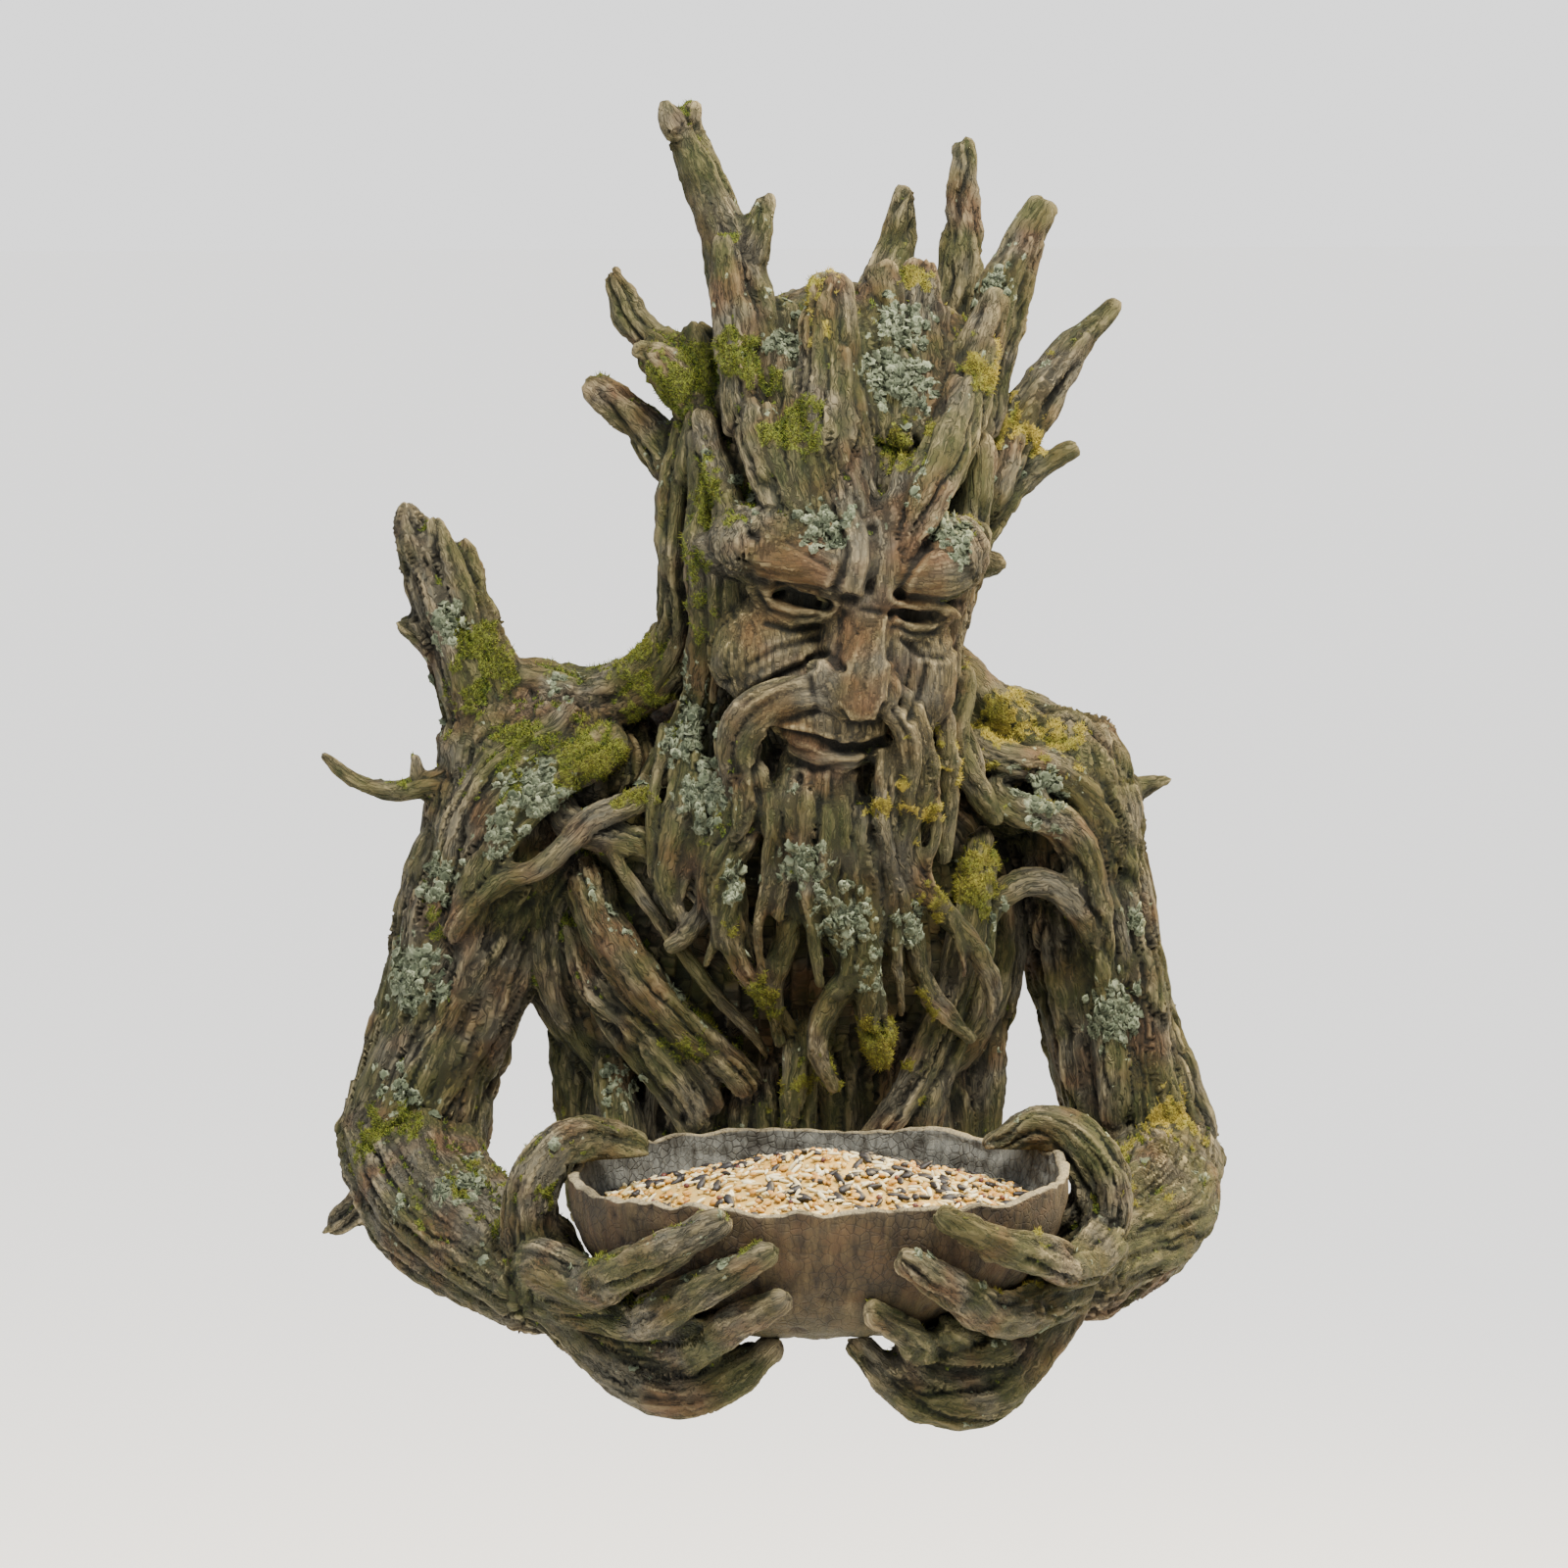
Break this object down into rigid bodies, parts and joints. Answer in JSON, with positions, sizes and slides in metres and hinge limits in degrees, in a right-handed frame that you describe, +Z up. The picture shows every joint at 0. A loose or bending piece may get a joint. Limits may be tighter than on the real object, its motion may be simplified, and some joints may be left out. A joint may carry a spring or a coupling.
{
  "type": "tree face bird feeder",
  "caption": "Wall-hung garden bird feeder carved as a bearded tree spirit that holds out an oval wooden dish of seed in both hands.",
  "frame": {"origin": "hanging point in the middle of the flat back, level with the keyholes' entries", "axes": "+Z up, the figure faces -Y, its flat back lies in the plane y = 0, +X is to the right as it is looked at from the front"},
  "size_m": [0.5506, 0.4246, 0.7383],
  "materials": {
    "weathered_wood": "rough weathered bark and carved wood, with moss and lichen",
    "dish_wood": "hewn and weathered, matt",
    "seed": "dry mixed bird seed, matt"
  },
  "bodies": {
    "root": {"tree_figure": "weathered_wood", "feeding_bowl": "dish_wood", "bird_seed": "seed"}
  },
  "joints": []
}
